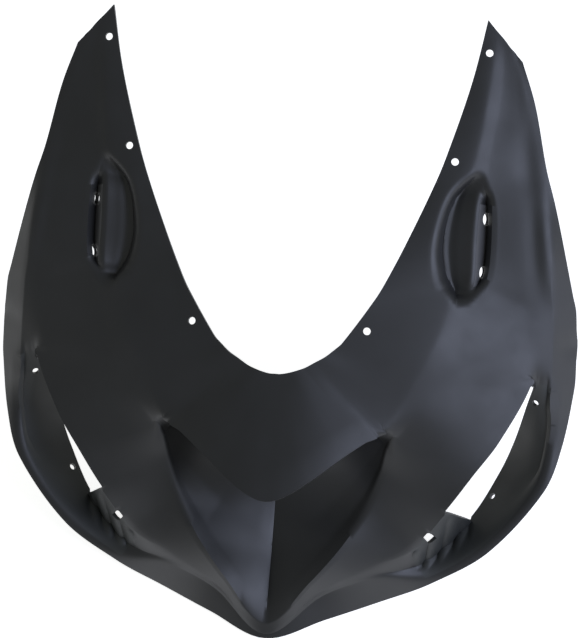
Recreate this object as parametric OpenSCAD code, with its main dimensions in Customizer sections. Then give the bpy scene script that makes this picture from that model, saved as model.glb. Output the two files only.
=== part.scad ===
// Upper front fairing of a sport motorcycle: one moulded shell with a windscreen opening,
// two mirror pockets, two headlight openings and an air mouth in the nose.
// The shell is drawn flat to its own slope (x across, y up the slope, z out of it),
// then raked into the frame of the motorcycle, with the nose towards -Y and +Z up.

/* [Shell] */
// Overall width across the sides
cowl_w = 472; // [400:2:560]
// Length along the slope, from the arm tips to the nose
cowl_len = 504; // [440:2:580]
// Height of the shell out of its slope
cowl_depth = 124; // [100:1:150]
// Wall of the moulding
wall = 3; // [2:0.25:4]
// Rake of the shell above level
rake = 38; // [25:1:50]

/* [Windscreen screws] */
// Diameter of the windscreen screw holes
screen_hole_d = 6; // [4:0.5:8]
// Distance of the windscreen holes from the edge
screen_inset = 8; // [6:0.5:12]
// Distance of the lowest pair of windscreen holes from the edge
low_inset = 11.5; // [8:0.5:16]

/* [Mirror pockets] */
// Depth of the pocket floor below the skin
pocket_depth = 11; // [6:1:14]
// Depth of the pad's foot below the skin
pad_depth = 17; // [13:1:20]
// Diameter of the mirror bolt holes
mirror_hole_d = 10; // [6:0.5:12]
// Distance between the two mirror bolts
mirror_pitch = 42; // [34:1:48]

/* [Air mouth] */
// Depth of the valley below the cheek edges
valley_depth = 24; // [14:1:32]
// How far the mouth floor runs back under the lip
throat_reach = 26; // [18:1:34]
// Depth of the turned-in lip
lip_return = 9; // [6:0.5:14]

/* [Headlight ledge] */
// Step from the side panel down to the ledge
ledge_step = 3; // [1:0.5:8]
// Height of the pleats at the end of the ledge
pleat_h = 3; // [1:0.25:4]
// Diameter of the ledge screw holes
ledge_hole_d = 5.5; // [4:0.5:7]
// Distance of the ledge screw holes from the ledge's inner edge
ledge_inset = 6.5; // [6:0.5:12]

/* [Side trim] */
// How far the locating tab stands out of the side trim
tab_out = 3; // [1:0.5:5]

/* [Hidden] */
plastic = [0.2, 0.2, 0.23];

// Sizes that the rails below are drawn at
drawn = [472, 504, 124];
fit = [cowl_w / drawn[0], cowl_len / drawn[1], cowl_depth / drawn[2]];

// Rails of the right half, each from the arm tip round to the centre line
screen_rail = [
  [150, 238, 1], [141, 190, 0], [124, 130, 1], [114, 101, 2], [97, 60, 5], [82, 27, 8], [74, 12, 10],
  [51, -23, 14], [45, -29, 15], [38, -35, 17], [30, -40, 18], [22, -45, 19], [15, -48, 20], [9, -50, 20],
  [4, -51, 20], [0, -51, 20]];
inner_rail = [
  [157, 230, 0], [153, 185, 0], [143, 120, 0], [126, 95, 2.5], [119, 59, 4], [124, 34, 2.5], [131, 19, 1],
  [117, -28, 7], [108, -45, 8], [96, -71, 9], [83, -93, 12], [72, -99, 18], [52, -114, 29], [31, -131, 37],
  [13, -143, 41], [0, -147, 42]];
outer_rail = [
  [164, 223, -1], [165, 181, -4], [157, 116, -5], [162, 97, -7], [164, 65, -8], [162, 38, -8], [156, 24, -7],
  [143, -31, -1], [135, -48, 1], [113, -80, 4], [95, -100, 0], [88, -126, -12], [77, -156, -17],
  [59, -187, -14], [34, -218, -12], [0, -254, -21.5]];
lamp_rail = [
  [169, 217, -2], [176, 178, -6], [176, 121, -9], [182, 97, -10], [187, 60, -11], [189, 27, -14],
  [190, 11, -16], [196, -36, -18], [201, -47, -20], [178, -95, -12], [159, -123, -9], [139, -153, -14],
  [113, -186, -28], [78, -204, -26], [39, -225, -21], [0, -260.5, -23]];
ledge_rail = [
  [173, 213, -3], [183, 175, -7], [188, 121, -12], [193, 97, -12], [198, 60, -13], [202, 26, -17],
  [204, 10, -19], [206, -39, -24], [204, -50, -32], [195, -98, -74], [184, -126, -77], [161, -165, -68],
  [119, -202, -48], [82, -209, -31], [41, -227, -25], [0, -262, -23.3]];
crease_rail = [
  [176, 210, -3.5], [187, 173, -8], [199, 121, -13], [204, 97, -13], [209, 59, -13], [213, 26, -19],
  [215, 11, -22], [217, -42, -30], [218, -55, -32], [220, -98, -38], [214, -131, -41], [173, -183, -44],
  [127, -211, -47], [85, -213, -34], [42.5, -229.5, -28], [0, -263, -23.6]];
trim_rail = [
  [179, 207, -4], [191, 172, -9], [203, 122, -14], [210, 97, -17], [220, 59, -24], [229, 26, -33],
  [233, 11, -38], [236, -40, -47], [235, -55, -48], [228.5, -98, -46], [217, -135, -44], [175, -187.5, -46.5],
  [131, -215.5, -50], [90, -233, -48], [46, -250, -34], [0, -267, -24]];
rails = [screen_rail, inner_rail, outer_rail, lamp_rail, ledge_rail, crease_rail, trim_rail];

// Stations along the rails where a feature starts or ends
pocket_top = 2;
pocket_end = 6;
ledge_top = 7;
lamp_top = 8;
mouth_tip = 10;
lamp_end = 11;
pleat_end = 12;
centre = 15;

// Columns between one station and the next, and rows between one rail and the next
columns = [3, 4, 4, 4, 4, 3, 4, 2, 6, 3, 4, 6, 4, 4, 3];
rows = [4, 8, 4, 3, 3, 2];

function upto(list, n) = n == 0 ? 0 : list[n - 1] + upto(list, n - 1);
column_n = upto(columns, len(columns));
row_n = upto(rows, len(rows));
first_row = [for (k = [0 : len(rows)]) upto(rows, k)];
first_column = [for (k = [0 : len(columns)]) upto(columns, k)];

function scaled(p) = [p[0] * fit[0], p[1] * fit[1], p[2] * fit[2]];
function mix(a, b, k) = a + (b - a) * k;
function clamp(v) = max(0, min(1, v));
function flip(p) = [-p[0], p[1], p[2]];

// Slope of a rail at a station; at the centre it runs straight across
function heading(rail, k) =
  k == 0 ? (rail[1] - rail[0]) / norm(rail[1] - rail[0])
  : k == centre ? (flip(rail[k - 1]) - rail[k - 1]) / (2 * norm(rail[k] - rail[k - 1]))
  : (rail[k + 1] - rail[k - 1]) / (norm(rail[k + 1] - rail[k]) + norm(rail[k] - rail[k - 1]));
function hermite(a, b, ta, tb, u) =
  a * (1 + 2 * u) * pow(1 - u, 2) + ta * u * pow(1 - u, 2) + b * u * u * (3 - 2 * u) - tb * u * u * (1 - u);
function on_rail(rail, s) =
  let (k = min(floor(s), centre - 1), a = scaled(rail[k]), b = scaled(rail[k + 1]), d = norm(rail[k + 1] - rail[k]))
  hermite(a, b, scaled(heading(rail, k)) * d, scaled(heading(rail, k + 1)) * d, s - k);

// How sharp each rail is at station s, from 0 for a smooth skin to 1 for an edge
function ramp(s, a, b) = clamp((s - a) / (b - a));
function sharp(k, s) =
  k == 1 ? max(min(ramp(s, pocket_top, pocket_top + 0.5), 1 - ramp(s, pocket_end, pocket_end + 0.3)),
               ramp(s, mouth_tip - 0.5, mouth_tip))
  : k == 2 ? max(min(ramp(s, pocket_top, pocket_top + 0.5), 1 - ramp(s, pocket_end, pocket_end + 0.3)),
                 ramp(s, mouth_tip - 0.5, mouth_tip))
  : k == 3 ? ramp(s, ledge_top, lamp_top) * (1 - 0.7 * ramp(s, pleat_end, pleat_end + 1))
  : k == 4 ? ramp(s, ledge_top, lamp_top) * (1 - ramp(s, pleat_end, pleat_end + 1))
  : k == 5 ? ramp(s, pocket_top, pocket_end)
  : 1;

// Point between rail k and the next at station s, before any recess
function skin(s, k, u) =
  let (p = [for (m = [max(0, k - 1) : min(6, k + 2)]) on_rail(rails[m], s)],
       o = k == 0 ? 0 : 1, a = p[o], b = p[o + 1], d = norm(b - a), chord = (b - a) / d,
       before = k == 0 ? chord : (b - p[0]) / (d + norm(a - p[0])),
       after = k == 5 ? chord : (p[o + 2] - a) / (d + norm(p[o + 2] - b)))
  hermite(a, b, mix(before, chord, sharp(k, s)) * d, mix(after, chord, sharp(k + 1, s)) * d, u);

// The ends of the pocket and the tip of the mouth are round, because the columns near them bow
bows = [[pocket_top, -0.085], [pocket_end, 0.17], [mouth_tip, -0.27]];
function bow(s, m) = m < 0 ? 0 : bow(s, m - 1) + bows[m][1] * max(0, 1 - abs(s - bows[m][0]));
function bowed(s, u) = skin(s + 4 * u * (1 - u) * bow(s, len(bows) - 1), 1, u);

// Mirror pocket, from the inner rim: wall, floor, ridge, pad and outer wall.
// Above and below the pad the floor runs out to the rim.
ridge_at = 0.68;
foot_at = 0.94;
ridge_drop = 0.15 * pocket_depth;
pocket_u = [0, 0.06, 0.2, 0.42, ridge_at, 0.81, foot_at, 0.975, 1];
floor_drop = [for (v = [0, 0.75, 1, 0.75, 0.35, 0.18, 0.05, 0.02, 0]) v * pocket_depth];
pad_drop = [0, floor_drop[1], floor_drop[2], 0.65 * pocket_depth, ridge_drop,
  mix(ridge_drop, pad_depth, (pocket_u[5] - ridge_at) / (foot_at - ridge_at)), pad_depth, pad_depth, 0];
pad_from = 3;
pad_to = 5.67;
function pad_share(s) = min(ramp(s, pad_from, pad_from + 0.25), 1 - ramp(s, pad_to - 0.33, pad_to));
function pocket_point(s, j) = bowed(s, pocket_u[j]) - [0, 0, mix(floor_drop[j], pad_drop[j], pad_share(s))];

// Air mouth: two walls fall from the cheek edges to a valley on the centre line
cheek_x = [for (k = [centre : -1 : mouth_tip]) [scaled(outer_rail[k])[1], scaled(outer_rail[k])[0]]];
cheek_z = [for (k = [centre : -1 : mouth_tip]) [scaled(outer_rail[k])[1], scaled(outer_rail[k])[2]]];
function valley_z(x, y) =
  let (half = max(1, lookup(y, cheek_x)), fade = clamp((y - cheek_x[0][0]) / 45))
  lookup(y, cheek_z) - valley_depth * fade * (1 - min(1, x / half));
function mouth_point(s, j) =
  let (lip = on_rail(inner_rail, s), cheek = on_rail(outer_rail, s),
       back = [lip[0] * 0.97, lip[1] + throat_reach], under = [lip[0], lip[1]],
       at = j == 3 ? back : mix(under, [cheek[0], cheek[1]], (j - 4) / 4))
  j == 0 ? lip : j == 1 ? lip + [0, 1, -lip_return * 0.6] : j == 2 ? lip + [0, 5, -lip_return]
  : j == 8 ? cheek : [at[0], at[1], valley_z(at[0], at[1])];

pocket_in = 0.75;
function pocket_share(s) = min(ramp(s, pocket_top, pocket_top + pocket_in), 1 - ramp(s, pocket_end - 0.33, pocket_end));
function mouth_share(s) = ramp(s, mouth_tip, mouth_tip + 0.25);

// Ledge under the headlight: it steps down from the side panel
ledge_u = [0, 0.45, 0.93, 1];
function ledge_share(s) = ramp(s, ledge_top, lamp_top) * (1 - ramp(s, mouth_tip - 0.4, mouth_tip + 0.5));
function pleat(s, i) =
  s > lamp_end && s < pleat_end ? (i % 2 == 0 ? -pleat_h : pleat_h) : 0;

// Locating tab on the side trim, one column long, set towards the inside
tab_column = first_column[pocket_end] + 2;
function tab(i) = i == tab_column ? [tab_out, 0, -3 * tab_out] : [0, 0, 0];

function shell_point(s, i, k, j) =
  k == 1 && pocket_share(s) > 0 ? mix(bowed(s, j / 8), pocket_point(s, j), pocket_share(s))
  : k == 1 ? mix(bowed(s, j / 8), mouth_point(s, j), mouth_share(s))
  : k == 4 ? let (u = mix(j / 3, ledge_u[j], ledge_share(s)))
             skin(s, 4, u) - [0, 0, (j == 2 ? ledge_step * ledge_share(s) : 0) - (j < 2 ? pleat(s, i) * (1 - j / 2) : 0)]
  : k == 3 ? skin(s, 3, j / rows[3]) + [0, 0, j > 0 ? pleat(s, i) : 0]
  : skin(s, k, j / rows[k]) + (k == 5 && j == rows[5] ? tab(i) : [0, 0, 0]);

function station(i) = i == column_n ? centre :
  let (k = max([for (m = [0 : len(columns) - 1]) if (first_column[m] <= i) m])) k + (i - first_column[k]) / columns[k];
function rail_of(r) = max([for (m = [0 : len(rows) - 1]) if (first_row[m] <= r) m]);

half_grid = [for (i = [0 : column_n]) let (s = station(i))
  [for (r = [0 : row_n]) let (k = rail_of(r)) shell_point(s, i, k, r - first_row[k])]];
all_n = 2 * column_n;
outside = [for (c = [0 : all_n]) [for (r = [0 : row_n])
  c < column_n ? half_grid[c][r] : c == column_n ? [0, half_grid[c][r][1], half_grid[c][r][2]]
  : flip(half_grid[all_n - c][r])]];

function unit(v) = norm(v) < 0.000001 ? [0, 0, 0] : v / norm(v);
function cell_normal(c, r) =
  c < 0 || r < 0 || c >= all_n || r >= row_n ? [0, 0, 0]
  : unit(cross(outside[c + 1][r + 1] - outside[c][r], outside[c][r + 1] - outside[c + 1][r]));
function normal(c, r) =
  unit(cell_normal(c, r) + cell_normal(c - 1, r) + cell_normal(c, r - 1) + cell_normal(c - 1, r - 1));
inside = [for (c = [0 : all_n]) [for (r = [0 : row_n]) outside[c][r] - normal(c, r) * wall]];

// Cells left open: the headlights, the slit at the end of the ledge and the throat of the mouth
slit_column = first_column[lamp_end] + 3;
function open_half(i, r) =
  let (s = station(i))
  (i >= first_column[lamp_top] && i < first_column[lamp_end] && r >= first_row[3] && r < first_row[4])
  || (i == slit_column && r == first_row[3])
  || (i > first_column[mouth_tip] && r == first_row[1] + 2);
function present(c, r) =
  c >= 0 && r >= 0 && c < all_n && r < row_n && !open_half(c < column_n ? c : all_n - 1 - c, r);

across = row_n + 1;
inner_start = (all_n + 1) * across;
function at(c, r) = c * across + r;
function quad(a, b, c, d) = [[a, b, c], [a, c, d]];
// Both skins are split the same way, and the left half mirrors the right
function cell_faces(c, r) =
  let (a = at(c, r), b = at(c + 1, r), d = at(c + 1, r + 1), e = at(c, r + 1), n = inner_start)
  concat(c < column_n ? quad(e, d, b, a) : quad(d, b, a, e),
    c < column_n ? quad(n + b, n + d, n + e, n + a) : quad(n + a, n + b, n + d, n + e),
    present(c, r - 1) ? [] : quad(n + b, n + a, a, b),
    present(c, r + 1) ? [] : quad(n + e, n + d, d, e),
    present(c - 1, r) ? [] : quad(n + a, n + e, e, a),
    present(c + 1, r) ? [] : quad(n + d, n + b, b, d));

// Holes: the place on the shell, the way out of it, and the length of the cutter
function across_from(s, k, inset) = skin(s, k, inset / norm(on_rail(rails[k + 1], s) - on_rail(rails[k], s)));
function facing(a, b, c) = unit(cross(c - a, b - a));
function screen_hole(s, inset) =
  let (p = across_from(s, 0, inset))
  [p, facing(p, across_from(s + 0.05, 0, inset), skin(s, 0, 0))];
function ledge_hole(s) =
  let (p = across_from(s, 4, ledge_inset))
  [p, facing(p, across_from(s + 0.05, 4, ledge_inset), skin(s, 4, 0))];
pad_y = [for (k = [pocket_top : pocket_end]) [scaled(outer_rail[k])[1], k]];
pad_middle = 61.5;
function pad_hole(side) =
  let (s = lookup(pad_middle * fit[1] + side * mirror_pitch / 2, pad_y),
       a = pocket_point(s, 4), b = pocket_point(s, 6))
  [mix(a, b, 0.5), facing(a, b, pocket_point(s + 0.1, 5))];
screen_stations = [[0.44, screen_inset], [2.04, screen_inset], [6.7, low_inset]];
ledge_stations = [8.22, 10.42];
holes = concat(
  [for (v = screen_stations) [each screen_hole(v[0], v[1]), screen_hole_d]],
  [for (side = [1, -1]) [each pad_hole(side), mirror_hole_d]],
  [for (s = ledge_stations) [each ledge_hole(s), ledge_hole_d]]);

module drill(hole, side) {
  n = [side * hole[1][0], hole[1][1], hole[1][2]];
  translate([side * hole[0][0], hole[0][1], hole[0][2]])
    rotate([0, acos(n[2]), atan2(n[1], n[0])])
      cylinder(d = hole[2], h = 4 * wall, center = true, $fn = 32);
}

module moulding() {
  polyhedron(
    points = concat([for (c = outside) each c], [for (c = inside) each c]),
    faces = [for (c = [0 : all_n - 1], r = [0 : row_n - 1]) if (present(c, r)) each cell_faces(c, r)]);
}

// The motorcycle's frame, with its origin in the middle of the shell's own box
function raked(p) = [p[0], p[1] * cos(rake) - p[2] * sin(rake), p[1] * sin(rake) + p[2] * cos(rake)];
placed = [for (grid = [outside, inside], c = grid, p = c) raked(p)];
function middle(a) = let (v = [for (p = placed) p[a]]) (min(v) + max(v)) / 2;

module fairing_shell() {
  color(plastic)
    translate([0, -middle(1), -middle(2)])
      rotate([rake, 0, 0])
        difference() {
          moulding();
          for (hole = holes, side = [1, -1]) drill(hole, side);
        }
}

fairing_shell();
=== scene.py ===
# Upper front fairing of a sport motorcycle: one moulded shell, dressed for the studio
import math

import bmesh
import bpy
from bpy.props import FloatProperty, FloatVectorProperty, PointerProperty
from mathutils import Matrix, Vector


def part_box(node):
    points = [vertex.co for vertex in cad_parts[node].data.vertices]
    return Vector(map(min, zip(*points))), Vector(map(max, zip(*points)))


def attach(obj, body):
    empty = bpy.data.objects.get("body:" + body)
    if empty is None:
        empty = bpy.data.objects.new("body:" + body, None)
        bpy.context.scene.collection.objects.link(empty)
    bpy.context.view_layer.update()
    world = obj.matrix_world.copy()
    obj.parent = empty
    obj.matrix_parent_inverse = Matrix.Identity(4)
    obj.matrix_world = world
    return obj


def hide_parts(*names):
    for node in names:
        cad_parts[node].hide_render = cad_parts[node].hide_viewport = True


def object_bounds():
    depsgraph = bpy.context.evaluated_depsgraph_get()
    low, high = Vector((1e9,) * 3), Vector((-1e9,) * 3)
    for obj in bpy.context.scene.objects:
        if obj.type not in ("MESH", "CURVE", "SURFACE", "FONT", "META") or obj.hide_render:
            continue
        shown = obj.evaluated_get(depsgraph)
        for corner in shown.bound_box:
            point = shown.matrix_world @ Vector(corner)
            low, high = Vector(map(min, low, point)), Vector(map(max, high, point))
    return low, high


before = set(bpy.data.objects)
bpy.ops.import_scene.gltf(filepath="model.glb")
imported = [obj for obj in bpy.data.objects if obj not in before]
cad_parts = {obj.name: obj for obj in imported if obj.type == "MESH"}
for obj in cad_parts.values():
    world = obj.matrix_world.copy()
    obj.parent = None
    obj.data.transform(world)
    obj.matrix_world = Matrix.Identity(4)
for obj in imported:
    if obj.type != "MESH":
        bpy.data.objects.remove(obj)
CAD_BOX = [[float(v) for v in corner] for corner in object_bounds()]

bl_info = {
    "name": "Motorcycle fairing",
    "version": (1, 0, 0),
    "blender": (4, 5, 0),
    "location": "View3D > Sidebar > Fairing",
    "description": "Builds a moulded motorcycle fairing and its studio",
    "category": "Object",
}

MM = 0.001
NODE = "fairing_shell"

# The shell is drawn flat to its own slope, in millimetres: x across, y up the slope, z out of it
RAKE = math.radians(38)

# Rails of the right half, each from the arm tip round to the centre line
RAILS = [[Vector(p) for p in rail] for rail in (
    # Edge of the windscreen opening
    [(150, 238, 1), (141, 190, 0), (124, 130, 1), (114, 101, 2), (97, 60, 5), (82, 27, 8),
     (74, 12, 10), (51, -23, 14), (45, -29, 15), (38, -35, 17), (30, -40, 18), (22, -45, 19),
     (15, -48, 20), (9, -50, 20), (4, -51, 20), (0, -51, 20)],
    # Inner rim of the mirror pocket, then the lip of the mouth
    [(157, 230, 0), (153, 185, 0), (143, 120, 0), (126, 95, 2.5), (119, 59, 4), (124, 34, 2.5),
     (131, 19, 1), (117, -28, 7), (108, -45, 8), (96, -71, 9), (83, -93, 12), (72, -99, 18),
     (52, -114, 29), (31, -131, 37), (13, -143, 41), (0, -147, 42)],
    # Outer rim of the mirror pocket, then the cheek edge of the mouth
    [(164, 223, -1), (165, 181, -4), (157, 116, -5), (162, 97, -7), (164, 65, -8), (162, 38, -8),
     (156, 24, -7), (143, -31, -1), (135, -48, 1), (113, -80, 4), (95, -100, 0), (88, -126, -12),
     (77, -156, -17), (59, -187, -14), (34, -218, -12), (0, -254, -21.5)],
    # Inner edge of the headlight opening
    [(169, 217, -2), (176, 178, -6), (176, 121, -9), (182, 97, -10), (187, 60, -11),
     (189, 27, -14), (190, 11, -16), (196, -36, -18), (201, -47, -20), (178, -95, -12),
     (159, -123, -9), (139, -153, -14), (113, -186, -28), (78, -204, -26), (39, -225, -21),
     (0, -260.5, -23)],
    # Outer edge of the headlight opening, where the ledge starts
    [(173, 213, -3), (183, 175, -7), (188, 121, -12), (193, 97, -12), (198, 60, -13),
     (202, 26, -17), (204, 10, -19), (206, -39, -24), (204, -50, -32), (195, -98, -74),
     (184, -126, -77), (161, -165, -68), (119, -202, -48), (82, -209, -31), (41, -227, -25),
     (0, -262, -23.3)],
    # Crease between the ledge and the side panel
    [(176, 210, -3.5), (187, 173, -8), (199, 121, -13), (204, 97, -13), (209, 59, -13),
     (213, 26, -19), (215, 11, -22), (217, -42, -30), (218, -55, -32), (220, -98, -38),
     (214, -131, -41), (173, -183, -44), (127, -211, -47), (85, -213, -34),
     (42.5, -229.5, -28), (0, -263, -23.6)],
    # Trimmed outer edge
    [(179, 207, -4), (191, 172, -9), (203, 122, -14), (210, 97, -17), (220, 59, -24),
     (229, 26, -33), (233, 11, -38), (236, -40, -47), (235, -55, -48), (228.5, -98, -46),
     (217, -135, -44), (175, -187.5, -46.5), (131, -215.5, -50), (90, -233, -48),
     (46, -250, -34), (0, -267, -24)],
)]
# A band of the skin has the name of the rail that it starts from, and ends at the next rail
SCREEN, LIP, CHEEK, LAMP, LEDGE, CREASE = range(6)

# Stations along the rails where a feature starts or ends
POCKET_TOP, POCKET_END, LEDGE_TOP, LAMP_TOP = 2, 6, 7, 8
MOUTH_TIP, LAMP_END, PLEAT_END, CENTRE = 10, 11, 12, 15

# Columns from one station to the next and rows from one rail to the next, as the CAD shell has
# them, and how many finer ones each gets here
COLUMNS = (3, 4, 4, 4, 4, 3, 4, 2, 6, 3, 4, 6, 4, 4, 3)
ROWS = (4, 8, 4, 3, 3, 2)
FINE_COLUMNS = (3, 4, 5, 5, 5, 5, 3, 3, 3, 3, 5, 6, 3, 3, 3)
FINE_ROWS = (2, 4, 3, 4, 4, 2)


def places(counts, fine):
    """(Band, place in it) of each line of the fine grid, in steps of the CAD grid."""
    found = [(k, m / fine[k]) for k, n in enumerate(counts) for m in range(n * fine[k])]
    return found + [(len(counts) - 1, counts[-1])]


STATIONS = [k + j / COLUMNS[k] for k, j in places(COLUMNS, FINE_COLUMNS)]
LINES = places(ROWS, FINE_ROWS)
FIRST_LINE = [LINES.index((band, 0)) for band in range(len(ROWS))]


def clamp(v):
    return max(0.0, min(1.0, v))


def ramp(s, a, b):
    return clamp((s - a) / (b - a))


def mix(a, b, k):
    return a + (b - a) * k


def soft(v):
    return v * v * (3 - 2 * v)


def lookup(x, table):
    """Straight interpolation in a rising table of pairs."""
    if x <= table[0][0]:
        return table[0][1]
    for (x0, y0), (x1, y1) in zip(table, table[1:]):
        if x <= x1:
            return mix(y0, y1, (x - x0) / (x1 - x0))
    return table[-1][1]


def hermite(a, b, ta, tb, u):
    v = 1 - u
    return a * (1 + 2 * u) * v * v + ta * u * v * v + b * u * u * (3 - 2 * u) - tb * u * u * v


def eased(x, table):
    """Smooth interpolation in a rising table of pairs, without overshoot."""
    x = max(table[0][0], min(table[-1][0], x))
    n = len(table) - 1
    i = max(m for m in range(n) if table[m][0] <= x)
    slopes = [(y1 - y0) / (x1 - x0) for (x0, y0), (x1, y1) in zip(table, table[1:])]

    def tangent(m):
        if m == 0:
            return slopes[0]
        if m == n:
            return slopes[-1]
        a, b = slopes[m - 1], slopes[m]
        return 0.0 if a * b <= 0 else 2 * a * b / (a + b)

    (x0, y0), (x1, y1) = table[i], table[i + 1]
    d = x1 - x0
    return hermite(y0, y1, tangent(i) * d, tangent(i + 1) * d, (x - x0) / d)


def flip(p):
    return Vector((-p.x, p.y, p.z))


def heading(rail, k):
    """Direction of a rail at its station k, square to the middle plane at the centre."""
    if k == 0:
        return (rail[1] - rail[0]).normalized()
    if k == CENTRE:
        return (flip(rail[k - 1]) - rail[k - 1]) / (2 * (rail[k] - rail[k - 1]).length)
    way = (rail[k + 1] - rail[k]).length + (rail[k] - rail[k - 1]).length
    return (rail[k + 1] - rail[k - 1]) / way


def on_rail(m, s):
    rail = RAILS[m]
    k = min(int(s), CENTRE - 1)
    d = (rail[k + 1] - rail[k]).length
    return hermite(rail[k], rail[k + 1], heading(rail, k) * d, heading(rail, k + 1) * d, s - k)


# Stations over which the rails turn from smooth to sharp or back
RIM_IN, RIM_OUT = (POCKET_TOP, POCKET_TOP + 0.5), (POCKET_END, POCKET_END + 0.3)
CHEEK_IN = (MOUTH_TIP - 3.5, MOUTH_TIP - 0.5)
LAMP_IN, LAMP_OUT = (LEDGE_TOP, LAMP_TOP), (PLEAT_END, PLEAT_END + 1)
LAMP_LOSS = 0.7
CREASE_IN = (POCKET_TOP, POCKET_END)


def sharp(k, s):
    """How sharply the skin breaks at rail k: 0 where it runs on smoothly, 1 for an edge."""
    if k in (LIP, CHEEK):
        rim = min(ramp(s, *RIM_IN), 1 - ramp(s, *RIM_OUT))
        return max(rim, ramp(s, *CHEEK_IN))
    if k == LAMP:
        return ramp(s, *LAMP_IN) * (1 - LAMP_LOSS * ramp(s, *LAMP_OUT))
    if k == LEDGE:
        return ramp(s, *LAMP_IN) * (1 - ramp(s, *LAMP_OUT))
    if k == CREASE:
        return ramp(s, *CREASE_IN)
    return 1.0


def skin(s, k, u):
    """Point between rail k and the next at station s, before any recess."""
    a, b = on_rail(k, s), on_rail(k + 1, s)
    d = (b - a).length
    chord = (b - a) / d
    before = after = chord
    if k > SCREEN:
        p = on_rail(k - 1, s)
        before = (b - p) / (d + (a - p).length)
    if k < CREASE:
        p = on_rail(k + 2, s)
        after = (p - a) / (d + (p - b).length)
    start = mix(before, chord, sharp(k, s)) * d
    end = mix(after, chord, sharp(k + 1, s)) * d
    return hermite(a, b, start, end, u)


# How far, in stations, the columns bow at the tip of the mouth, so that it is round
BOW = -0.27


def bowed(s, u):
    return skin(s + 4 * u * (1 - u) * BOW * max(0.0, 1 - abs(s - MOUTH_TIP)), LIP, u)


# Mirror pocket, as share across and drop from its inner rim: a floor that rises to a ridge, and a
# pad that falls from there to a hollow. Past the pad's ends the floor runs out to the outer rim.
POCKET_DEPTH, PAD_DEPTH = 11.0, 17.0
RIDGE_AT, FOOT_AT = 0.68, 0.94
RIDGE_DROP = 0.15 * POCKET_DEPTH
FLOOR = [(0, POCKET_DEPTH), (0.2, POCKET_DEPTH), (0.42, 0.75 * POCKET_DEPTH),
         (0.68, 0.38 * POCKET_DEPTH), (0.81, 0.22 * POCKET_DEPTH), (1, 0.13 * POCKET_DEPTH)]
RISE = [(0, POCKET_DEPTH), (0.2, POCKET_DEPTH), (0.42, 0.65 * POCKET_DEPTH),
        (RIDGE_AT, RIDGE_DROP)]
PAD = [(RIDGE_AT, RIDGE_DROP), (0.81, 9.33), (0.893, 14.2), (0.94, 14.6), (1, 12)]
# The slope that the mirror bolts stand square to
BOLT_SEAT = [(RIDGE_AT, RIDGE_DROP), (FOOT_AT, PAD_DEPTH)]
# Stations between which the pad lies, and over which it comes in and fades
PAD_FROM, PAD_TO = 3, 5.67
PAD_IN, PAD_OUT = (PAD_FROM - 0.5, PAD_FROM + 0.3), (PAD_TO - 0.33, PAD_TO + 0.3)
# Outline, which follows the rails between two heights on the slope: its round corners, and the
# runs of its side walls and of its lower and upper end
POCKET_Y = (12.5, 120.0)
CORNER, WALL_RUN = 12.5, 4.4
END_RUNS = (9.0, 22.0)


def floor_drop(s, u):
    pad = eased(u, RISE) if u < RIDGE_AT else lookup(u, PAD)
    share = min(ramp(s, *PAD_IN), 1 - ramp(s, *PAD_OUT))
    return mix(eased(u, FLOOR), pad, soft(share))


def pocket_drop(p, s, u):
    """Drop of the pocket below the plain skin: its floor, times how far the walls are down."""
    half = (on_rail(CHEEK, s) - on_rail(LIP, s)).length / 2
    side = half * (1 - abs(2 * u - 1))
    ends = (p.y - POCKET_Y[0], POCKET_Y[1] - p.y)
    corner = min(CORNER, half)
    inner = corner - math.hypot(max(0.0, corner - side), max(0.0, corner - min(ends)))
    if inner <= 0:
        return 0.0
    down = math.prod(math.sin(clamp(end / run) * math.pi / 2) for end, run in zip(ends, END_RUNS))
    return floor_drop(s, u) * soft(clamp(inner / WALL_RUN)) * down


# Air mouth: two walls fall from the cheek edges to a valley on the centre line. Under the lip the
# throat is open. The cheeks have a small step inside their edges.
VALLEY, VALLEY_RUN = 24.0, 62
THROAT, THROAT_IN = 26.0, (MOUTH_TIP + 0.2, MOUTH_TIP + 0.7)
THROAT_WIDTH = 0.97
LIP_RETURN, LIP_SHARE = 9.0, 0.8
CHEEK_STEP, STEP_RUN, STEP_OUT = 3.0, 0.7, (CENTRE - 2, CENTRE - 0.5)
CHEEK_SAMPLES = 4
CHEEK_EDGE = [on_rail(CHEEK, CENTRE - k / CHEEK_SAMPLES)
              for k in range(CHEEK_SAMPLES * (CENTRE - MOUTH_TIP) + 1)]
CHEEK_X = [(p.y, p.x) for p in CHEEK_EDGE]
CHEEK_Z = [(p.y, p.z) for p in CHEEK_EDGE]
# Lines across its band: the lip's return ends, the throat's back, the wall starts, the cheek edge
RETURN_LINE, BACK_LINE, WALL_LINE, CHEEK_LINE = 2, 3, 4, ROWS[LIP]
RETURN_OUT = [(0, 0), (1, 1), (RETURN_LINE, 5)]
RETURN_DOWN = [(0, 0), (1, 0.6), (RETURN_LINE, 1)]
# Half the lines lie close to the lip, whose wall they make
MOUTH_ACROSS = [(0, 0), (WALL_LINE, 0.12), (CHEEK_LINE, 1)]
MOUTH_IN = (MOUTH_TIP, MOUTH_TIP + 0.2)
ACROSS_IN = (MOUTH_TIP - 0.9, MOUTH_TIP)
# Share of its band that the mouth fills at its tip, and the stations over which it widens
NARROWEST = 0.55
NARROW_AFTER, NARROW_BEFORE = (MOUTH_TIP + 0.33, MOUTH_TIP), (MOUTH_TIP - 0.5, MOUTH_TIP)


def valley_z(x, y):
    half = max(1.0, lookup(y, CHEEK_X))
    fade = math.sin(clamp((y - CHEEK_X[0][0]) / VALLEY_RUN) * math.pi / 2)
    return eased(y, CHEEK_Z) - VALLEY * fade * (1 - min(1.0, x / half))


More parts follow.
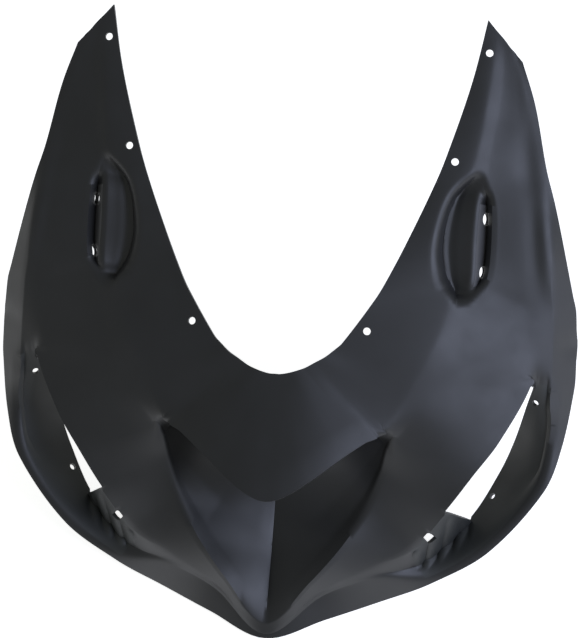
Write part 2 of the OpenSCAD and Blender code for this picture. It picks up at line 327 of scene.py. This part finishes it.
def mouth_point(lip, cheek, s, j):
    """Point on line j of the mouth, between a point of the lip and one of the cheek edge."""
    drop = min(LIP_RETURN, LIP_SHARE * (lip.z - valley_z(lip.x, lip.y)))
    if j <= RETURN_LINE:
        return lip + Vector((0, lookup(j, RETURN_OUT), -drop * lookup(j, RETURN_DOWN)))
    if j >= CHEEK_LINE:
        return cheek
    under = Vector((lip.x, lip.y, 0))
    if j < WALL_LINE:
        back = Vector((lip.x * THROAT_WIDTH, lip.y + THROAT * soft(ramp(s, *THROAT_IN)), 0))
        at = mix(back, under, max(0.0, j - BACK_LINE))
    else:
        across = (j - WALL_LINE) / (CHEEK_LINE - WALL_LINE)
        at = mix(under, Vector((cheek.x, cheek.y, 0)), across)
    step = CHEEK_STEP * soft(clamp((CHEEK_LINE - j) / STEP_RUN)) * clamp((j - WALL_LINE) / 2)
    return Vector((at.x, at.y, valley_z(at.x, at.y) - step * (1 - ramp(s, *STEP_OUT))))


def mouth_share(s):
    return math.sin(ramp(s, *MOUTH_IN) * math.pi / 2)


def narrow(s):
    """Share of its band that the mouth fills at station s, which falls towards its round tip."""
    near = min(ramp(s, *NARROW_AFTER), ramp(s, *NARROW_BEFORE))
    return mix(NARROWEST, 1, math.sqrt(1 - near * near))


# Ledge under the headlight, which steps down from the side panel
LEDGE_STEP = 3.0
LEDGE_ACROSS = [(0, 0), (1, 0.45), (2, 0.93), (3, 1)]
LEDGE_OUT = (MOUTH_TIP - 0.4, MOUTH_TIP + 0.5)
# Pleats of the sunk panel past it: height, pitch, place, lean from a height on the slope, and the
# share of a pleat that is its steep side
PLEAT, PLEAT_PITCH, PLEAT_AT = 4.2, 11.5, 126.5
PLEAT_LEAN, LEAN_FROM = 0.12, 180
STEEP = 0.22
PANEL_DROP = 1.6
PLEATS_IN, PLEATS_OUT = (LAMP_END - 0.02, LAMP_END + 0.12), (PLEAT_END - 0.1, PLEAT_END + 0.08)
# Lines across both bands over which the pleats and the panel come in and fade
PLEAT_RISE, PLEAT_FADE = (0.2, 1.2), (3.3, 5)
PANEL_FALL, PANEL_FADE = (0, 0.5), (3.6, 5)


def ledge_share(s):
    return ramp(s, *LAMP_IN) * (1 - ramp(s, *LEDGE_OUT))


def pleated(p, s, band, j):
    """Pleats of the sunk panel past the headlight: each falls steeply on its inner side."""
    across = j if band == LAMP else ROWS[LAMP] + j
    along = soft(ramp(s, *PLEATS_IN)) * (1 - soft(ramp(s, *PLEATS_OUT)))
    turn = ((p.x - PLEAT_LEAN * (p.y + LEAN_FROM) - PLEAT_AT) / PLEAT_PITCH) % 1
    saw = turn / STEEP if turn < STEEP else 1 - (turn - STEEP) / (1 - STEEP)
    rise, fade = soft(ramp(across, *PLEAT_RISE)), 1 - soft(ramp(across, *PLEAT_FADE))
    sunk = PANEL_DROP * soft(ramp(across, *PANEL_FALL)) * (1 - soft(ramp(across, *PANEL_FADE)))
    return Vector((0, 0, (PLEAT * soft(saw) * rise * fade - sunk) * along))


# Locating tab on the side trim: its middle and half length in stations, and how far it stands out
TAB_AT, TAB_HALF = POCKET_END + 0.5, 0.25
TAB_OUT, TAB_LEAN = 1.2, -3


def tab(s):
    out = TAB_OUT * clamp(1 - abs(s - TAB_AT) / TAB_HALF)
    return Vector((out, 0, TAB_LEAN * out))


def plain_point(s, band, j):
    """Point of the outer skin, before any recess, on evenly spaced lines."""
    u = j / ROWS[band]
    return bowed(s, u) if band == LIP else skin(s, band, u)


def slid(s, band, j):
    """Place in a column of plain points to which line j of a band slides, in lines."""
    u = j / ROWS[band]
    lines = ROWS[band] * FINE_ROWS[band]
    pinch = (1 - narrow(s)) / 2 * ROWS[LIP] * FINE_ROWS[LIP]
    if band == SCREEN:
        return u * lines + pinch * u
    if band == LIP:
        u = mix(u, lookup(j, MOUTH_ACROSS), soft(ramp(s, *ACROSS_IN)))
        return FIRST_LINE[LIP] + pinch + u * (lines - 2 * pinch)
    if band == CHEEK:
        return FIRST_LINE[CHEEK] + u * lines - pinch * (1 - u)
    if band == LEDGE:
        u = mix(u, lookup(j, LEDGE_ACROSS), ledge_share(s))
    return FIRST_LINE[band] + u * lines


def dressed_point(p, lip, cheek, s, band, j):
    """Add the recesses, the pleats or the tab to a smoothed plain point."""
    if band == LIP and s < MOUTH_TIP:
        return p - Vector((0, 0, pocket_drop(p, s, j / ROWS[LIP])))
    if band == LIP:
        return mix(p, mouth_point(lip, cheek, s, j), mouth_share(s))
    if band == LEDGE:
        p = p - Vector((0, 0, LEDGE_STEP * ledge_share(s) * soft(clamp(1 - abs(j - 2)))))
    if band in (LAMP, LEDGE):
        return p + pleated(p, s, band, j)
    return p + tab(s) * (j / ROWS[CREASE]) if band == CREASE else p


# Stations over which the mouth's wings come in and fade, where the plastic is rougher and its
# colour is darkened as painted shade
WING_IN, WING_OUT = (MOUTH_TIP, MOUTH_TIP + 0.1), (MOUTH_TIP + 1, MOUTH_TIP + 2.6)


def painted_shade_and_dullness(s, band, j):
    """How far the plastic is rougher and darkened as painted shade, from 0 to 1: only the wings of
    the mouth are.
    """
    wing = ramp(s, *WING_IN) * (1 - soft(ramp(s, *WING_OUT)))
    return wing if band == LIP and 0 < j < CHEEK_LINE else 0.0


# The throat opens one column of the CAD grid past the mouth's tip, and the slit is one column wide
THROAT_FROM = MOUTH_TIP + 1 / COLUMNS[MOUTH_TIP]
SLIT = [LAMP_END + column / COLUMNS[LAMP_END] for column in (3, 4)]


def is_open(s, band, j):
    """Whether the headlight, the throat of the mouth or the slit is open there."""
    lamp = band == LAMP and LAMP_TOP < s < LAMP_END
    throat = band == LIP and s > THROAT_FROM and RETURN_LINE < j < BACK_LINE
    slit = band == LAMP and SLIT[0] < s < SLIT[1] and j < 1
    return lamp or throat or slit


# How often the plain skin is smoothed, how firmly its edges are kept from that, and the stations
# over which the mouth, the crease and the nose change
SMOOTHINGS, HOLD = 24, 1.4
MOUTH_HELD, CREASE_FREED = (MOUTH_TIP, MOUTH_TIP + 0.3), (LAMP_TOP, LAMP_TOP + 1)
NOSE_HELD = (LAMP_END + 1, LAMP_END + 3)


def smoothings(s, band, j):
    """How many times a point is smoothed: edges, the mouth and the nose not at all."""
    edge = sharp(band, s) if j == 0 else 0
    if j == 0 and band in (LIP, CHEEK):
        edge = ramp(s, *MOUTH_HELD)
    if j == 0 and band == CREASE:
        edge *= 1 - ramp(s, *CREASE_FREED)
    if band == LIP:
        edge = max(edge, ramp(s, *MOUTH_HELD))
    return round(SMOOTHINGS * (1 - ramp(s, *NOSE_HELD)) * (1 - clamp(HOLD * edge)))


# Holes: station and inset from its rail of each, heights of the bolts on the slope, and widths
SCREEN_HOLES, SCREEN_WIDTH = ((0.44, 8), (2.04, 8), (6.7, 11.5)), 6.0
BOLT_MIDDLE, BOLT_HALF, BOLT_WIDTH = 61.5, 21, 10.0
LEDGE_HOLES, LEDGE_WIDTH = ((8.22, 6.5), (10.42, 6.5)), 5.5


def facing(a, b, c):
    return (c - a).cross(b - a).normalized()


def inset_point(s, k, inset):
    return skin(s, k, inset / (on_rail(k + 1, s) - on_rail(k, s)).length)


def seat_point(s, u):
    return bowed(s, u) - Vector((0, 0, lookup(u, BOLT_SEAT)))


def hole_near(k, s, inset, width):
    p = inset_point(s, k, inset)
    return p, facing(p, inset_point(s + 0.05, k, inset), skin(s, k, 0)), width


def bolt_hole(height):
    pocket = [(RAILS[CHEEK][k].y, k) for k in range(POCKET_END, POCKET_TOP - 1, -1)]
    s = lookup(height, pocket)
    a, b = seat_point(s, RIDGE_AT), seat_point(s, FOOT_AT)
    beside = seat_point(s + 0.1, (RIDGE_AT + FOOT_AT) / 2)
    return mix(a, b, 0.5), facing(a, b, beside), BOLT_WIDTH


def holes():
    """Centre, way out and width of each hole in the right half."""
    screen = [hole_near(SCREEN, s, inset, SCREEN_WIDTH) for s, inset in SCREEN_HOLES]
    bolts = [bolt_hole(BOLT_MIDDLE + side * BOLT_HALF) for side in (1, -1)]
    ledge = [hole_near(LEDGE, s, inset, LEDGE_WIDTH) for s, inset in LEDGE_HOLES]
    return screen + bolts + ledge


def rake(p):
    return Matrix.Rotation(RAKE, 4, "X") @ p


class FairingShell(bpy.types.PropertyGroup):
    wall: FloatProperty(
        name="Wall", description="Thickness of the moulding",
        default=0.003, min=0.002, max=0.004, unit="LENGTH")
    edge: FloatProperty(
        name="Edge", description="Width of the softened edges",
        default=0.0005, min=0.0001, max=0.001, unit="LENGTH")
    plastic: FloatVectorProperty(
        name="Plastic", description="Colour of the unpainted plastic",
        default=(0.017, 0.0175, 0.0185), min=0, max=1, size=3, subtype="COLOR")
    grained: FloatVectorProperty(
        name="Grained plastic", description="Colour of the rougher ledge",
        default=(0.024, 0.026, 0.026), min=0, max=1, size=3, subtype="COLOR")
    # The seats' colour is lighter than the plastic as painted light, against the shade of the
    # groove they lie in; their roughness is their own
    seat: FloatVectorProperty(
        name="Seat plastic", description="Colour of the mirror bolts' rough seats",
        default=(0.07, 0.07, 0.073), min=0, max=1, size=3, subtype="COLOR")


class FairingStudio(bpy.types.PropertyGroup):
    floor: FloatVectorProperty(
        name="Floor", description="Colour of the floor",
        default=(0.9, 0.9, 0.9), min=0, max=1, size=3, subtype="COLOR")
    glow: FloatProperty(
        name="Light table", description="How brightly the floor shines by itself",
        default=0.8, min=0)
    surround: FloatProperty(
        name="Surround", description="Strength of the light all round", default=0.28, min=0)
    key_power: FloatProperty(
        name="Key light", description="Power of the light from the right",
        default=14, min=0, unit="POWER")
    front_power: FloatProperty(
        name="Front light", description="Power of the light from the front right",
        default=14, min=0, unit="POWER")


# Scale and detail of the clouds in tint and in gloss, the range of noise that they use, and the
# shares of the colour that the clouds have and that the mouth's wings keep under their painted
# shade
TINT_CLOUDS, GLOSS_CLOUDS = (14, 3), (40, 4)
NOISE_RANGE = (0.3, 0.7)
PALE, DEEP, PAINTED_SHADE_SHARE = 1.15, 0.85, 0.2
# Strength of the grain, and the detail of its noise
GRAIN_STRENGTH, GRAIN_DETAIL = 0.15, 2
# Roughness from and to, scale of the grain and its depth
SMOOTH_FINISH = (0.4, 0.48, 1600, 0.0002)
GRAINED_FINISH = (0.52, 0.62, 900, 0.0004)
SEAT_FINISH = (0.55, 0.65, 900, 0.0004)


def wires(material):
    material.use_nodes = True
    tree = material.node_tree
    tree.nodes.clear()
    shader = tree.nodes.new("ShaderNodeBsdfPrincipled")
    out = tree.nodes.new("ShaderNodeOutputMaterial")
    tree.links.new(shader.outputs["BSDF"], out.inputs["Surface"])
    return tree, shader


def noise(tree, scale, detail):
    node = tree.nodes.new("ShaderNodeTexNoise")
    node.inputs["Scale"].default_value = scale
    node.inputs["Detail"].default_value = detail
    where = tree.nodes.new("ShaderNodeTexCoord")
    tree.links.new(where.outputs["Object"], node.inputs["Vector"])
    return node.outputs["Fac"]


def spread(tree, source, low, high):
    """Map the middle range of a noise onto low to high."""
    node = tree.nodes.new("ShaderNodeMapRange")
    node.inputs["From Min"].default_value = NOISE_RANGE[0]
    node.inputs["From Max"].default_value = NOISE_RANGE[1]
    node.inputs["To Min"].default_value = low
    node.inputs["To Max"].default_value = high
    tree.links.new(source, node.inputs["Value"])
    return node.outputs["Result"]


def shade(colour, share):
    return (*[c * share for c in colour], 1)


def moulded_plastic(name, colour, finish):
    """Unpainted moulded plastic: cloudy in tint and gloss, with a fine grain from the mould."""
    smoothest, roughest, grain, grain_depth = finish
    material = bpy.data.materials.new(name)
    tree, shader = wires(material)
    tint = tree.nodes.new("ShaderNodeMix")
    tint.data_type = "RGBA"
    tint.inputs["A"].default_value = shade(colour, DEEP)
    tint.inputs["B"].default_value = shade(colour, PALE)
    tree.links.new(spread(tree, noise(tree, *TINT_CLOUDS), 0, 1), tint.inputs["Factor"])
    # Painted shade: a vertex attribute darkens the colour in the mouth's wings, and also makes
    # them rougher
    shade_and_dullness = tree.nodes.new("ShaderNodeAttribute")
    shade_and_dullness.attribute_name = "painted_shade_and_dullness"
    painted_shade_mix = tree.nodes.new("ShaderNodeMix")
    painted_shade_mix.data_type = "RGBA"
    painted_shade_mix.inputs["B"].default_value = shade(colour, PAINTED_SHADE_SHARE)
    tree.links.new(shade_and_dullness.outputs["Fac"], painted_shade_mix.inputs["Factor"])
    tree.links.new(tint.outputs["Result"], painted_shade_mix.inputs["A"])
    tree.links.new(painted_shade_mix.outputs["Result"], shader.inputs["Base Color"])
    rough = tree.nodes.new("ShaderNodeMix")
    rough.inputs["B"].default_value = 1
    tree.links.new(shade_and_dullness.outputs["Fac"], rough.inputs["Factor"])
    gloss = spread(tree, noise(tree, *GLOSS_CLOUDS), smoothest, roughest)
    tree.links.new(gloss, rough.inputs["A"])
    tree.links.new(rough.outputs["Result"], shader.inputs["Roughness"])
    bump = tree.nodes.new("ShaderNodeBump")
    bump.inputs["Strength"].default_value = GRAIN_STRENGTH
    bump.inputs["Distance"].default_value = grain_depth
    tree.links.new(noise(tree, grain, GRAIN_DETAIL), bump.inputs["Height"])
    tree.links.new(bump.outputs["Normal"], shader.inputs["Normal"])
    return material


def paper(name, colour, roughness, glow):
    material = bpy.data.materials.new(name)
    shader = wires(material)[1]
    shader.inputs["Emission Color"].default_value = (1, 1, 1, 1)
    shader.inputs["Emission Strength"].default_value = glow
    shader.inputs["Base Color"].default_value = (*colour, 1)
    shader.inputs["Roughness"].default_value = roughness
    return material


def as_object(name, bm, *materials):
    mesh = bpy.data.meshes.new(name)
    bm.to_mesh(mesh)
    bm.free()
    for material in materials:
        mesh.materials.append(material)
    obj = bpy.data.objects.new(name, mesh)
    bpy.context.scene.collection.objects.link(obj)
    return obj


def apply_modifiers(obj):
    evaluated = obj.evaluated_get(bpy.context.evaluated_depsgraph_get())
    mesh = bpy.data.meshes.new_from_object(evaluated)
    obj.modifiers.clear()
    old, obj.data = obj.data, mesh
    bpy.data.meshes.remove(old)


# The parts of the skin, by finish, and the stations that the grained ledge and the seat keep off
SMOOTH_PART, GRAINED_PART, LIGHTENED_SEAT_PART, OPEN_PART = range(4)
GRAIN_MARGIN, SEAT_MARGIN = 0.5, 0.1
# Points nearer to each other, or to the middle plane, than this are one, in millimetres
NEAR = 0.001
LAYERS = ("column", "row", "smoothings")


def part_of_face(s, band, j):
    if is_open(s, band, j):
        return OPEN_PART
    ledge = band == LEDGE and LEDGE_TOP + GRAIN_MARGIN < s < PLEAT_END
    panel = band == LAMP and LAMP_END < s < PLEAT_END
    along_pad = PAD_FROM + SEAT_MARGIN < s < PAD_TO - SEAT_MARGIN
    pad = band == LIP and along_pad and RIDGE_AT < j / ROWS[LIP] < FOOT_AT
    return LIGHTENED_SEAT_PART if pad else GRAINED_PART if ledge or panel else SMOOTH_PART


def half_sheet(bm):
    """Plain outer skin of the right half, from a flat grid, with its points' columns and rows."""
    columns, rows = len(STATIONS) - 1, len(LINES) - 1
    bmesh.ops.create_grid(bm, x_segments=columns, y_segments=rows, size=0.5)
    column_of, row_of, smoothings_of = [bm.verts.layers.int.new(name) for name in LAYERS]
    for face in bm.faces:
        middle = face.calc_center_median()
        i, r = int((middle.x + 0.5) * columns), int((middle.y + 0.5) * rows)
        s = (STATIONS[i] + STATIONS[i + 1]) / 2
        band, j = LINES[r]
        face.material_index = part_of_face(s, band, j + 0.5 / FINE_ROWS[band])
    for vert in bm.verts:
        i, r = round((vert.co.x + 0.5) * columns), round((vert.co.y + 0.5) * rows)
        s = STATIONS[i]
        band, j = LINES[r]
        vert.co = plain_point(s, band, j)
        vert[column_of], vert[row_of], vert[smoothings_of] = i, r, smoothings(s, band, j)
        if s == CENTRE:
            vert.co.x = 0


def smooth_skin(bm):
    smoothings_of = bm.verts.layers.int["smoothings"]
    inner = [v for v in bm.verts if not v.is_boundary]
    for n in range(SMOOTHINGS):
        verts = [v for v in inner if v[smoothings_of] > n]
        bmesh.ops.smooth_vert(
            bm, verts=verts, factor=0.5, use_axis_x=True, use_axis_y=True, use_axis_z=True)


def dress(bm):
    """Slide the smoothed skin's lines to the edges of the recesses and press the recesses in."""
    column_of, row_of = [bm.verts.layers.int[name] for name in LAYERS[:2]]
    # Share of painted shade, with rougher plastic, that each point in the mouth's wings gets
    shade_and_dullness_of = bm.verts.layers.float.new("painted_shade_and_dullness")
    plain = {(v[column_of], v[row_of]): v.co.copy() for v in bm.verts if v.co.x > -NEAR}
    dressed = {}
    for i, s in enumerate(STATIONS):
        lines = []
        for band, j in LINES:
            at = slid(s, band, j)
            r = min(int(at), len(LINES) - 2)
            lines.append(mix(plain[i, r], plain[i, r + 1], at - r))
        lip, cheek = lines[FIRST_LINE[LIP]], lines[FIRST_LINE[CHEEK]]
        for r, (band, j) in enumerate(LINES):
            dressed[i, r] = dressed_point(lines[r], lip, cheek, s, band, j)
    for vert in bm.verts:
        p = dressed[vert[column_of], vert[row_of]]
        vert.co = p if vert.co.x > -NEAR else flip(p)
        vert[shade_and_dullness_of] = painted_shade_and_dullness(STATIONS[vert[column_of]], *LINES[vert[row_of]])
    opened = [f for f in bm.faces if f.material_index == OPEN_PART]
    bmesh.ops.delete(bm, geom=opened, context="FACES")


def outer_skin():
    """Both halves of the dressed skin, raked and in metres."""
    bm = bmesh.new()
    half_sheet(bm)
    everything = bm.verts[:] + bm.edges[:] + bm.faces[:]
    bmesh.ops.mirror(bm, geom=everything, axis="X", merge_dist=NEAR)
    bmesh.ops.remove_doubles(bm, verts=bm.verts[:], dist=NEAR)
    smooth_skin(bm)
    dress(bm)
    bmesh.ops.recalc_face_normals(bm, faces=bm.faces[:])
    top = max(bm.faces, key=lambda f: f.calc_center_median().z)
    if top.normal.z < 0:
        bmesh.ops.reverse_faces(bm, faces=bm.faces[:])
    for vert in bm.verts:
        vert.co = rake(vert.co) * MM
    return bm


def thicken(shell, wall):
    solid = shell.modifiers.new("wall", "SOLIDIFY")
    solid.thickness = wall
    solid.offset = -1
    apply_modifiers(shell)


def centre_in(shell, low, high):
    """Move the shell to the middle of a box, and give the way it went."""
    verts = shell.data.vertices
    own = [[f(v.co[a] for v in verts) for a in range(3)] for f in (min, max)]
    seat = Vector([(low[a] + high[a] - own[0][a] - own[1][a]) / 2 for a in range(3)])
    shell.data.transform(Matrix.Translation(seat))
    return seat


CUTTER_SIDES = 48


def drill(shell, seat, depth, material):
    """Drill the holes of both halves, square to the skin."""
    bm = bmesh.new()
    for p, n, width in holes():
        for side in (1, -1):
            at = rake(Vector((side * p.x, p.y, p.z))) * MM + seat
            way = rake(Vector((side * n.x, n.y, n.z)))
            turn = Matrix.Translation(at) @ way.to_track_quat("Z", "Y").to_matrix().to_4x4()
            bmesh.ops.create_cone(bm, cap_ends=True, segments=CUTTER_SIDES,
                                  radius1=width / 2 * MM, radius2=width / 2 * MM,
                                  depth=depth, matrix=turn)
    cutter = as_object("cutter", bm, material)
    cut = shell.modifiers.new("holes", "BOOLEAN")
    cut.operation = "DIFFERENCE"
    cut.solver = "MANIFOLD"
    cut.object = cutter
    apply_modifiers(shell)
    bpy.data.objects.remove(cutter)


# Turns of the skin that count as edges: to be softened, and to be shaded sharp
SOFTENED_TURN, SHARP_TURN = math.radians(66), math.radians(50)


def soften(shell, width, low, high):
    """Soften the edges, keep the shell in a box, and shade it smooth between edges."""
    edge = shell.modifiers.new("edge", "BEVEL")
    edge.width = width
    edge.segments = 2
    edge.limit_method = "ANGLE"
    edge.angle_limit = SOFTENED_TURN
    apply_modifiers(shell)
    for vert in shell.data.vertices:
        vert.co = [max(low[a], min(high[a], vert.co[a])) for a in range(3)]
    shell.data.shade_smooth()
    shell.data.set_sharp_from_angle(angle=SHARP_TURN)
    normals = shell.modifiers.new("normals", "WEIGHTED_NORMAL")
    normals.keep_sharp = True
    apply_modifiers(shell)


class FAIRING_OT_shell(bpy.types.Operator):
    """Make the moulded shell and dress it in plastic"""
    bl_idname = "fairing.shell"
    bl_label = "Moulded shell"

    def execute(self, context):
        props = context.scene.fairing_shell
        smooth = moulded_plastic("moulded_plastic", props.plastic, SMOOTH_FINISH)
        grained = moulded_plastic("grained_plastic", props.grained, GRAINED_FINISH)
        # Painted light: the bolt seats get a lighter copy of the plastic, with a rougher finish
        painted_light_seat = moulded_plastic("painted_light_seat_plastic", props.seat, SEAT_FINISH)
        shell = as_object("moulded_shell", outer_skin(), smooth, grained, painted_light_seat)
        thicken(shell, props.wall)
        low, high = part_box(NODE)
        seat = centre_in(shell, low, high)
        drill(shell, seat, 4 * props.wall, smooth)
        soften(shell, props.edge, low, high)
        context.scene["seat"] = list(seat)
        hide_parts(NODE)
        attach(shell, "root")
        return {"FINISHED"}


# The photograph's camera, in millimetres and in pixels of a picture 581 wide
PICTURE = 581
DISTANCE = 1400.0
YAW, PITCH, ROLL = math.radians(5.96), math.radians(0.22), math.radians(3.42)
FOCAL = 1750.0
OFFSET = (8.7, -9.1)
SENSOR = 36

# The floor lies just below the shell; its half width is in metres
FLOOR_GAP, FLOOR_HALF, FLOOR_ROUGHNESS = 0.002, 8, 0.9

# Size and place of each area light, in metres, and the colours of the light
KEY_SIZE, KEY_PLACE = (0.7, 1.6), (1.8, -0.5, 0.9)
FRONT_SIZE, FRONT_PLACE = (0.8, 1.2), (1.3, -0.95, 1.2)
LIGHT_COLOUR = (0.68, 0.75, 1.0)
SURROUND_COLOUR = (0.97, 1, 0.94, 1)


def light(name, power, size, place):
    """Area light that faces the middle of the shell."""
    lamp = bpy.data.lights.new(name, "AREA")
    lamp.energy = power
    lamp.shape = "RECTANGLE"
    lamp.size, lamp.size_y = size
    lamp.color = LIGHT_COLOUR
    obj = bpy.data.objects.new(name, lamp)
    obj.matrix_world = (Matrix.Translation(place)
                        @ Vector(place).to_track_quat("Z", "Y").to_matrix().to_4x4())
    bpy.context.scene.collection.objects.link(obj)


def add_camera(scene, seat):
    away = Vector((math.sin(YAW) * math.cos(PITCH), math.sin(PITCH),
                   math.cos(YAW) * math.cos(PITCH)))
    right = Vector((0, 1, 0)).cross(away).normalized()
    up = away.cross(right)
    right, up = (math.cos(ROLL) * right + math.sin(ROLL) * up,
                 math.cos(ROLL) * up - math.sin(ROLL) * right)
    axes = [rake(v) for v in (right, up, away)]
    lens = bpy.data.cameras.new("camera")
    lens.sensor_fit = "HORIZONTAL"
    lens.sensor_width = SENSOR
    lens.lens = FOCAL / PICTURE * SENSOR
    lens.shift_x = OFFSET[0] / PICTURE
    lens.shift_y = OFFSET[1] / PICTURE
    camera = bpy.data.objects.new("camera", lens)
    camera.matrix_world = (Matrix.Translation(rake(away * DISTANCE) * MM + seat)
                           @ Matrix([list(v) for v in axes]).transposed().to_4x4())
    scene.collection.objects.link(camera)
    scene.camera = camera


class FAIRING_OT_studio(bpy.types.Operator):
    """Set the floor, the lights and the camera"""
    bl_idname = "fairing.studio"
    bl_label = "Studio"

    def execute(self, context):
        props = context.scene.fairing_studio
        scene = context.scene
        bm = bmesh.new()
        bmesh.ops.create_grid(bm, x_segments=1, y_segments=1, size=FLOOR_HALF)
        bmesh.ops.translate(bm, verts=bm.verts[:], vec=(0, 0, CAD_BOX[0][2] - FLOOR_GAP))
        floor = as_object("floor", bm, paper("paper", props.floor, FLOOR_ROUGHNESS, props.glow))
        add_camera(scene, Vector(scene["seat"]))
        world = bpy.data.worlds.new("studio")
        world.use_nodes = True
        background = world.node_tree.nodes["Background"]
        background.inputs["Color"].default_value = SURROUND_COLOUR
        background.inputs["Strength"].default_value = props.surround
        scene.world = world
        scene.view_settings.view_transform = "Standard"
        light("key", props.key_power, KEY_SIZE, KEY_PLACE)
        light("front", props.front_power, FRONT_SIZE, FRONT_PLACE)
        return {"FINISHED"}


class FAIRING_PT_panel(bpy.types.Panel):
    """Shows the settings of the shell and of the studio, each with its button"""
    bl_label = "Fairing"
    bl_idname = "FAIRING_PT_panel"
    bl_space_type = "VIEW_3D"
    bl_region_type = "UI"
    bl_category = "Fairing"

    def draw(self, context):
        layout = self.layout
        for props, operator in ((context.scene.fairing_shell, "fairing.shell"),
                                (context.scene.fairing_studio, "fairing.studio")):
            for name in props.__annotations__:
                layout.prop(props, name)
            layout.operator(operator)


CLASSES = (FairingShell, FairingStudio, FAIRING_OT_shell, FAIRING_OT_studio, FAIRING_PT_panel)


def register():
    for cls in CLASSES:
        bpy.utils.register_class(cls)
    bpy.types.Scene.fairing_shell = PointerProperty(type=FairingShell)
    bpy.types.Scene.fairing_studio = PointerProperty(type=FairingStudio)


def unregister():
    del bpy.types.Scene.fairing_shell
    del bpy.types.Scene.fairing_studio
    for cls in reversed(CLASSES):
        bpy.utils.unregister_class(cls)


def main():
    register()
    bpy.ops.fairing.shell()
    bpy.ops.fairing.studio()


if __name__ == "__main__":
    main()
